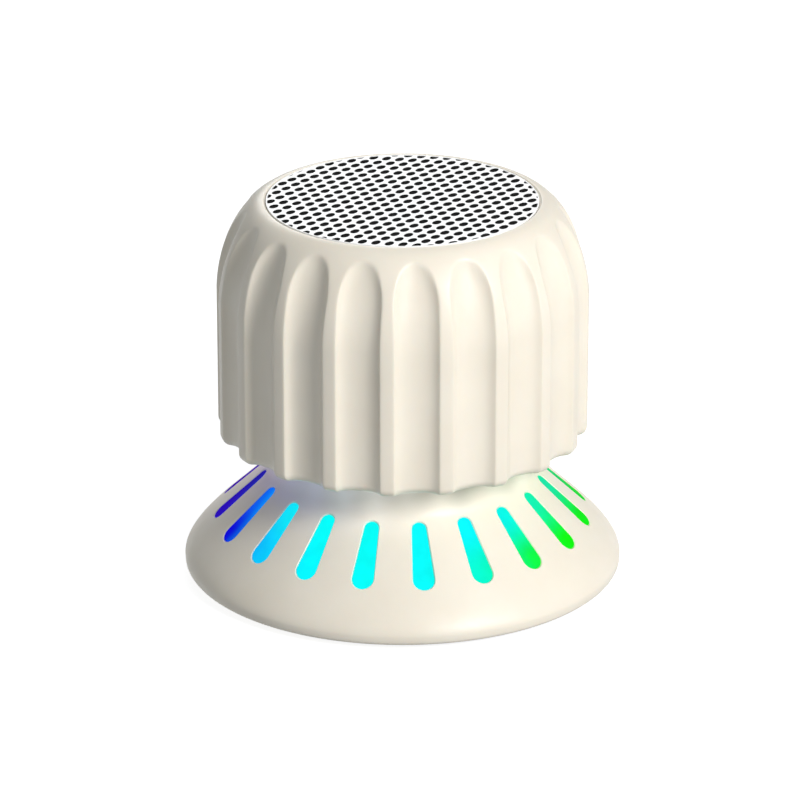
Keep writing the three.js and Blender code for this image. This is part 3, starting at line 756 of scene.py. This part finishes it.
def inset(point, depth):
    """A point of the slope's section moved inwards, square to the surface."""
    return tuple(point - SLOPE_NORMAL * depth)


def slot_outline(gap):
    """Teardrop of a slot with its wide end downhill, drawn in by a gap."""
    low, top = SLOT_LOW_RADIUS - gap, SLOT_TOP_RADIUS - gap
    half = SLOPE_VECTOR.length / 2
    low_y, top_y = -half + SLOT_LOW_RADIUS, half - SLOT_TOP_RADIUS
    lean = math.degrees(math.asin((low - top) / (top_y - low_y)))
    return arc((0, top_y), top, lean, 180 - lean, 12) + arc((0, low_y), low, 180 - lean, 360 + lean, 16)


def slot_matrix(index):
    """Puts an outline on the slope with its local Y uphill and its local Z outwards."""
    angle = SLOT_FIRST + TURN * index / SLOTS
    radial = Vector((math.sin(angle), -math.cos(angle), 0))
    across = Vector((math.cos(angle), math.sin(angle), 0))
    normal = radial * SLOPE_NORMAL.x + Vector((0, 0, SLOPE_NORMAL.y))
    uphill = normal.cross(across)
    middle = (SLOPE_TOP + SLOPE_LOW) / 2
    centre = radial * middle.x + Vector((0, 0, middle.y))
    matrix = Matrix((across, uphill, normal)).transposed().to_4x4()
    matrix.translation = centre
    return matrix


def make_base():
    fall = -SLOPE_VECTOR.y / SLOPE_VECTOR.x
    neck_control = (NECK_RADIUS, SLOPE_TOP.y + fall * (SLOPE_TOP.x - NECK_RADIUS))
    rim_control = (RIM_RADIUS, SLOPE_LOW.y - fall * (RIM_RADIUS - SLOPE_LOW.x))
    under = arc((RIM_RADIUS - RIM_EDGE, RIM_BOTTOM + RIM_EDGE), RIM_EDGE, -90, 0, 6)[:-1]
    rim = quadratic((RIM_RADIUS, RIM_MIDDLE), rim_control, tuple(SLOPE_LOW), 28)
    slope = [tuple(SLOPE_LOW.lerp(SLOPE_TOP, i / 10)) for i in range(1, 10)]
    flare = quadratic(tuple(SLOPE_TOP), neck_control, (NECK_RADIUS, NECK_LOW), 16)
    inside = [(NECK_RADIUS, NECK_TOP), (NECK_BORE, NECK_TOP), (NECK_BORE, NECK_CAVITY_TOP),
              (NECK_CAVITY_RADIUS, NECK_CAVITY_TOP), (NECK_CAVITY_RADIUS, NECK_CAVITY_LOW),
              inset(SLOPE_TOP, BASE_WALL), inset(SLOPE_LOW, BASE_WALL), (SEAT_RADIUS, SEAT_TOP),
              (SEAT_RADIUS, SEAT_LOW), (RIM_BORE, SEAT_LOW), (RIM_BORE, RIM_BOTTOM)]
    base = turned("base_shell_flared", under + rim + slope + flare + inside, 12 * SLOTS, SHELL_SMOOTH)
    # Straight slots with an edge that is rounded over, cut from well inside the wall to well above it
    straight, rounded, wide = slot_outline(0.0), slot_outline(-0.05), slot_outline(-SLOT_EDGE_WIDTH)
    layers = [(straight, -4), (straight, -SLOT_EDGE_DEPTH), (rounded, -SLOT_EDGE_DEPTH / 2), (wide, 0.0),
              (wide, 1.5)]
    cutters = [lofted("slot", [raised(outline, level, slot_matrix(i)) for outline, level in layers])
               for i in range(SLOTS)]
    combine(base, merged("slots", cutters), "DIFFERENCE", SHELL_SMOOTH)
    finish_piece(base, MATERIALS["ivory_plastic"], "housing", "ivory_plastic", "base_shell")


def make_light_guide():
    """Cone under the slope with a pad that fills each slot."""
    section = [inset(SLOPE_LOW, GUIDE_NEAR), inset(SLOPE_TOP, GUIDE_NEAR), inset(SLOPE_TOP, GUIDE_FAR),
               inset(SLOPE_LOW, GUIDE_FAR)]
    ring = turned("light_guide_ring", section, 6 * SLOTS)
    pads = [prism("pad", slot_outline(GUIDE_PAD_GAP), GUIDE_PAD_LOW, GUIDE_PAD_TOP, slot_matrix(i))
            for i in range(SLOTS)]
    combine(ring, merged("pads", pads), "UNION")
    ring.name = "light_guide_lit"
    finish_piece(ring, MATERIALS["light_guide"], "housing", "light_guide", "light_guide")


# ---- Grille ----
def clipped(outline, limit):
    """The part of an outline that lies inside a circle round the axis."""
    kept = []
    for first, second in zip(outline, outline[1:] + outline[:1]):
        if first.length <= limit:
            kept.append(first)
        if (first.length <= limit) != (second.length <= limit):
            kept.append(first.lerp(second, (limit - first.length) / (second.length - first.length)))
    return kept


def grille_holes(limit):
    """Outlines of the punched holes, cut off at the sheet's plain border."""
    along = Vector((math.cos(HOLE_ROWS_ANGLE), math.sin(HOLE_ROWS_ANGLE)))
    beside = Vector((-along.y, along.x))
    long_axis = Vector((math.sin(HOLE_LEAN), math.cos(HOLE_LEAN)))
    short_axis = Vector((long_axis.y, -long_axis.x))
    oval = [short_axis * x * HOLE_HALF_WIDTH + long_axis * y * HOLE_HALF_LENGTH
            for x, y in circle(1.0, 20)]
    reach = int(limit / HOLE_PITCH) + 2
    holes = []
    for row in range(-reach, reach + 1):
        for step in range(-reach, reach + 1):
            place = (step + 0.5 * (row % 2)) * HOLE_PITCH
            centre = HOLE_FIRST + along * place + beside * row * HOLE_ROW_GAP
            if centre.length > limit + HOLE_HALF_LENGTH:
                continue
            hole = clipped([centre + offset for offset in oval], limit)
            if hole and min(point.length for point in hole) < limit - SHEET_BORDER:
                holes.append(hole)
    return holes


def flat_sheet(name, outlines, low, high, edge):
    """Sheet between two levels from a border and its holes, with its edges rounded over."""
    curve = bpy.data.curves.new(name, "CURVE")
    curve.dimensions = "2D"
    curve.fill_mode = "BOTH"
    curve.extrude = ((high - low) / 2 - edge) * MM
    curve.bevel_depth = edge * MM
    curve.bevel_resolution = 1
    for outline in outlines:
        spline = curve.splines.new("POLY")
        spline.points.add(len(outline) - 1)
        for point, (x, y) in zip(spline.points, outline):
            point.co = (x * MM, y * MM, 0, 1)
        spline.use_cyclic_u = True
    source = bpy.data.objects.new(name, curve)
    bpy.context.scene.collection.objects.link(source)
    bpy.context.view_layer.update()
    mesh = bpy.data.meshes.new_from_object(source.evaluated_get(bpy.context.evaluated_depsgraph_get()))
    bpy.data.objects.remove(source)
    bpy.data.curves.remove(curve)
    mesh.transform(Matrix.Translation((0, 0, (low + high) / 2 * MM)))
    sheet = bpy.data.objects.new(name, mesh)
    bpy.context.scene.collection.objects.link(sheet)
    shade(sheet, ROUNDED_SMOOTH)
    return sheet


def make_grille():
    """Punched sheet with a skirt round it, and the cloth under the holes."""
    low, high = cad("grille")
    radius = GRILLE_OPENING - GRILLE_GAP
    underside = high.z - SHEET_THICKNESS
    outlines = [circle(radius - 0.02, 180)] + grille_holes(radius - SHEET_BORDER)
    sheet = flat_sheet("sheet", outlines, underside, high.z, SHEET_EDGE)
    section = [(radius, low.z), (radius, high.z - 0.06), (radius - 0.06, underside + 0.01),
               (radius - SKIRT_WALL, underside + 0.01), (radius - SKIRT_WALL, low.z)]
    skirt = turned("skirt", section, 180)
    grille = merged("grille_punched", [sheet, skirt])
    shade(grille, ROUNDED_SMOOTH)
    finish_piece(grille, MATERIALS["white_metal"], "housing", "white_metal", "grille")

    top = underside - 0.01
    bottom = top - CLOTH_THICKNESS
    edge = radius - CLOTH_BORDER
    section = [(0, bottom), (edge - 0.05, bottom), (edge, top - CLOTH_THICKNESS / 2), (edge - 0.05, top),
               (0, top)]
    cloth = turned_solid("grille_cloth_woven", section)
    finish_piece(cloth, MATERIALS["black_cloth"], "housing", "black_cloth", "grille_cloth")


# ---- Control panel, buttons and port flap ----
def make_panel():
    width, height = PANEL_HIGH.x - PANEL_LOW.x, PANEL_HIGH.z - PANEL_LOW.z
    outline = rounded_outline(width, height, PANEL_CORNER)
    place = facing_back(0, PANEL_MIDDLE)
    panel = prism("control_panel_moulded", outline, PANEL_LOW.y, PANEL_HIGH.y, place)
    holes = wall_holes(PANEL_BEHIND, rounded_outline(*PANEL_WINDOW), MICROPHONE_HOLE_RADIUS)
    combine(panel, holes, "DIFFERENCE")
    bevelled(panel, PANEL_EDGE)
    finish_piece(panel, MATERIALS["soft_ivory"], "housing", "soft_ivory", "control_panel")


def bar(width, height):
    """Rectangle about the origin."""
    x, y = width / 2, height / 2
    return [(-x, -y), (x, -y), (x, y), (-x, y)]


def make_mark(name, outlines, x, body):
    """Raised sign on a button's cap."""
    top = BUTTON_HIGH.y
    place = facing_back(x, BUTTON_Z)
    signs = [prism("sign", outline, top - MARK_ROOT, top + MARK_HEIGHT, place) for outline in outlines]
    mark = signs[0]
    for sign in signs[1:]:
        combine(mark, sign, "UNION")
    mark.name = name
    bevelled(mark, 0.03, 1)
    finish_piece(mark, MATERIALS["dark_plastic"], body, "dark_plastic")


def make_button(name, node, x, body):
    """Thin stem that meets the switch, and a cap with a round edge and a shallow dish."""
    low, high, radius = BUTTON_LOW.y, BUTTON_HIGH.y, BUTTON_RADIUS
    stem_radius, cap_low, edge = 1.3, 24.6, 0.35
    stem = [(0, low), (stem_radius - 0.1, low), (stem_radius, low + 0.1), (stem_radius, cap_low),
            (radius - 0.1, cap_low), (radius, cap_low + 0.1)]
    cap = arc((radius - edge, high - edge), edge, 0, 80, 5)
    dish = [(radius * 0.6, high - 0.02), (radius * 0.3, high - 0.06), (0, high - 0.08)]
    button = placed(turned_solid(name, stem + cap + dish, 48), facing_back(x, BUTTON_Z))
    finish_piece(button, MATERIALS["soft_ivory"], body, "soft_ivory", node)


def make_buttons():
    for node, side in (("volume_up", -1), ("play", 0), ("volume_down", 1)):
        make_button(f"{node}_cap", f"{node}_button", side * BUTTON_PITCH, f"{node}_key")
    length, stroke = 1.7, 0.36
    make_mark("plus_mark", [bar(length, stroke), bar(stroke, length)], -BUTTON_PITCH, "volume_up_key")
    make_mark("play_mark", [[(-0.55, -0.8), (0.85, 0.0), (-0.55, 0.8)]], 0, "play_key")
    make_mark("minus_mark", [bar(length, stroke)], BUTTON_PITCH, "volume_down_key")


def make_flap():
    """Plate with a plug that fills the port on its inner side and a lip for a fingernail outside."""
    width, height = FLAP_HIGH.x - FLAP_LOW.x, FLAP_HIGH.z - FLAP_LOW.z
    plate = rounded_outline(width, height, FLAP_CORNER)
    place = facing_back(0, PORT_Z)
    flap = prism("port_flap_moulded", plate, FLAP_PLATE_LOW, FLAP_HIGH.y - 0.05, place)
    bevelled(flap, 0.22, 3)
    plug = prism("plug", rounded_outline(*PLUG_OUTLINE), FLAP_LOW.y, FLAP_PLATE_LOW + 0.2, place)
    bevelled(plug, 0.25)
    combine(flap, plug, "UNION")
    lip_low, lip_high, lip_drop = 25.9, FLAP_HIGH.y + 0.25, 0.9
    lip_place = facing_back(0, FLAP_HIGH.z - lip_drop)
    lip = prism("lip", rounded_outline(*NAIL_LIP_OUTLINE, 4), lip_low, lip_high, lip_place)
    bevelled(lip, 0.12)
    combine(flap, lip, "UNION", ROUNDED_SMOOTH)
    finish_piece(flap, MATERIALS["soft_ivory"], "flap", "soft_ivory", "port_flap")


# ---- Underside ----
def make_cover():
    """Stepped cover under the base with ring ribs in its recess and three screw holes."""
    low, high = cad("base_cover")
    outside = [(high.x, low.z + COVER_EDGE), (high.x, COVER_FLANGE_TOP - 0.2),
               (high.x - 0.2, COVER_FLANGE_TOP), (COVER_BOX_RADIUS, COVER_FLANGE_TOP),
               (COVER_BOX_RADIUS, high.z), (COVER_BORE, high.z)]
    root_half, tip_half, rib_tip = 0.35, 0.3, COVER_CEILING - 0.3
    ribs = []
    for radius in COVER_RIBS:
        ribs += [(radius - root_half, COVER_CEILING), (radius - tip_half, rib_tip),
                 (radius + tip_half, rib_tip), (radius + root_half, COVER_CEILING)]
    wall = COVER_BOX_RADIUS - COVER_WALL
    inside = [(COVER_BORE, COVER_CEILING)] + ribs
    inside += [(wall - COVER_EDGE, COVER_CEILING), (wall, COVER_CEILING - COVER_EDGE),
               (wall, low.z + COVER_EDGE), (wall + COVER_EDGE, low.z), (high.x - COVER_EDGE, low.z)]
    cover = turned("base_cover_moulded", outside + inside, 120)
    tools = []
    for index in range(3):
        screw_low, screw_high = cad(f"base_screw_{index + 1}")
        middle = (screw_low + screw_high) / 2
        place = Matrix.Translation((middle.x, middle.y, 0))
        tools.append(prism("hole", circle(SCREW_CLEARANCE, 24), SCREW_SEAT - 0.2, high.z + 1, place))
        tools.append(prism("recess", circle(SCREW_RECESS, 32), 4, SCREW_SEAT, place))
    for tool in tools:
        combine(cover, tool, "DIFFERENCE", SHELL_SMOOTH)
    finish_piece(cover, MATERIALS["dark_plastic"], "housing", "dark_plastic", "base_cover")


def make_cup():
    """Thin bell that seals at its rim, with a stud that snaps into the cover."""
    high = cad("suction_cup")[1]
    rim, seal, lip, root, neck, bead = high.x, high.x - 2.6, 0.7, 4.6, 2.9, 3.8
    below = quadratic((0, 2.8), (15, 2.6), (seal, 0), 20)
    edge = [(rim - 0.15, 0), (rim, 0.2), (rim, lip - 0.2), (rim - 0.1, lip)]
    above = quadratic((rim - 0.1, lip), (17, 2.4), (5, root), 20)[1:]
    stud = [(neck + 0.2, root), (neck, root + 0.2), (neck, root + 1.6), (neck + 0.2, root + 1.8),
            (bead, root + 1.9), (bead - 0.05, root + 2.1), (neck + 0.2, high.z - 0.15), (neck, high.z),
            (0, high.z)]
    cup = turned_solid("suction_cup_moulded", below + edge + above + stud)
    finish_piece(cup, MATERIALS["clear_rubber"], "housing", "clear_rubber", "suction_cup")


# ---- Driver's moving suspension ----
def make_flexing(node, section, material):
    """Ring that flexes between the frame, at the fixed radius, and the cone, at the moving one."""
    for index in range(FLEX_SECTORS):
        piece = sector(f"{node}_sector_{index + 1}", section, index, FLEX_SECTORS)
        finish_piece(piece, MATERIALS[material], None, material, node)
        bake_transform(piece)


def make_surround():
    """Half roll between the basket's flange and the cone."""
    low, high = cad("surround")
    foot, sheet, roll, middle, inner = low.z, 0.35, 1.35, 14.45, 12.5
    section = [(high.x, foot), (high.x, foot + sheet)]
    section += arc((middle, foot), roll, 15, 165, 12)
    section += [(inner, foot + sheet), (inner, foot)]
    section += arc((middle, foot), roll - sheet, 180, 0, 12)
    make_flexing("surround", section, "black_rubber")


def make_spider():
    """Corrugated cloth ring between the basket and the voice coil."""
    low, high = cad("spider")
    inner, outer, waves, steps = 7.0, high.x, 3, 36
    middle, swing, half = (low.z + high.z) / 2, 0.22, 0.15
    section = []
    for i in range(steps + 1):
        height = middle + swing * math.cos(TURN * waves * i / steps) - half
        section.append((inner + (outer - inner) * i / steps, height))
    section += [(radius, height + 2 * half) for radius, height in reversed(section)]
    make_flexing("spider", section, "spider_cloth")


# ---- Carried-over CAD nodes ----
def paint_frame():
    """Gives each CAD node the material of its slot in the record."""
    for part in frame["record"]["subparts"]:
        node = frame["nodes"][part["node"]]
        material = MATERIALS[part["material_slot"]]
        if node.material_slots:
            for slot in node.material_slots:
                slot.link = "OBJECT"
                slot.material = material


# ---- Stage ----
def make_stage():
    corners = [(x * FLOOR_REACH, y * FLOOR_REACH, FLOOR_Z) for x, y in ((-1, -1), (1, -1), (1, 1), (-1, 1))]
    floor = make_object("floor", corners, [(0, 1, 2, 3)])
    material, tree, shader = new_material("floor")
    tone = mixed_colour(tree, noise_value(tree, 0.01, 2.0), (0.34, 0.34, 0.34), (0.36, 0.36, 0.36))
    tree.links.new(tone, shader.inputs["Base Color"])
    shader.inputs["Roughness"].default_value = 0.9
    shader.inputs["Emission Color"].default_value = (1, 1, 1, 1)
    shader.inputs["Emission Strength"].default_value = 0.84
    floor.data.materials.append(material)
    floor.visible_diffuse = False

    world = bpy.data.worlds.new("studio")
    world.use_nodes = True
    background = world.node_tree.nodes["Background"]
    background.inputs["Color"].default_value = (0.93, 0.97, 1.0, 1)
    background.inputs["Strength"].default_value = 0.37
    bpy.context.scene.world = world


def area_light(name, place, size, energy, colour=(1, 1, 1)):
    """Square soft light that points at the middle of the object."""
    data = bpy.data.lights.new(name, "AREA")
    data.shape = "SQUARE"
    data.size = size * MM
    data.energy = energy
    data.color = colour
    light = bpy.data.objects.new(name, data)
    light.location = Vector(place) * MM
    direction = (Vector((0, 0, 30)) - Vector(place)).normalized()
    light.rotation_euler = direction.to_track_quat("-Z", "Y").to_euler()
    bpy.context.scene.collection.objects.link(light)


def make_camera():
    data = bpy.data.cameras.new("camera")
    data.lens = CAMERA_LENS
    data.sensor_width = 36.0
    data.shift_x = CAMERA_SHIFT
    data.clip_start = 0.01
    data.clip_end = 20.0
    camera = bpy.data.objects.new("camera", data)
    back = Vector((math.sin(CAMERA_AZIMUTH) * math.cos(CAMERA_ELEVATION),
                   -math.cos(CAMERA_AZIMUTH) * math.cos(CAMERA_ELEVATION), math.sin(CAMERA_ELEVATION)))
    camera.location = (CAMERA_TARGET + back * CAMERA_DISTANCE) * MM
    camera.rotation_euler = (-back).to_track_quat("-Z", "Y").to_euler()
    bpy.context.scene.collection.objects.link(camera)
    bpy.context.scene.camera = camera


def make_lights():
    area_light("key", (368, -366, 330), 200, 3.4, (0.995, 0.985, 0.98))
    area_light("back", (-120, 640, 330), 300, 1.3)
    area_light("top", (0, 80, 620), 400, 0.1)
    bpy.context.scene.view_settings.view_transform = "Standard"


def spill_colour(angle):
    """Colour between the two stops on either side of an angle in degrees."""
    for (first, low), (second, high) in zip(SPILL_STOPS, SPILL_STOPS[1:]):
        if angle <= second:
            return Vector(low).lerp(Vector(high), (angle - first) / (second - first))


def make_spill():
    """Soft coloured light under the body from the lit slots."""
    for index in range(SPILL_LIGHTS):
        turn = 360 * (index + 0.5) / SPILL_LIGHTS - 180
        angle = math.radians(turn)
        data = bpy.data.lights.new("spill", "POINT")
        data.energy = SPILL_ENERGY
        data.color = spill_colour(turn)
        data.shadow_soft_size = SPILL_SIZE * MM
        light = bpy.data.objects.new("spill", data)
        place = Vector((SPILL_RADIUS * math.sin(angle), -SPILL_RADIUS * math.cos(angle), SPILL_Z))
        light.location = place * MM
        light.visible_camera = False
        bpy.context.scene.collection.objects.link(light)


make_camera()
make_stage()
make_lights()
make_spill()
paint_frame()
make_body()
make_base()
make_light_guide()
make_grille()
make_panel()
make_buttons()
make_flap()
make_cover()
make_cup()
make_surround()
make_spider()
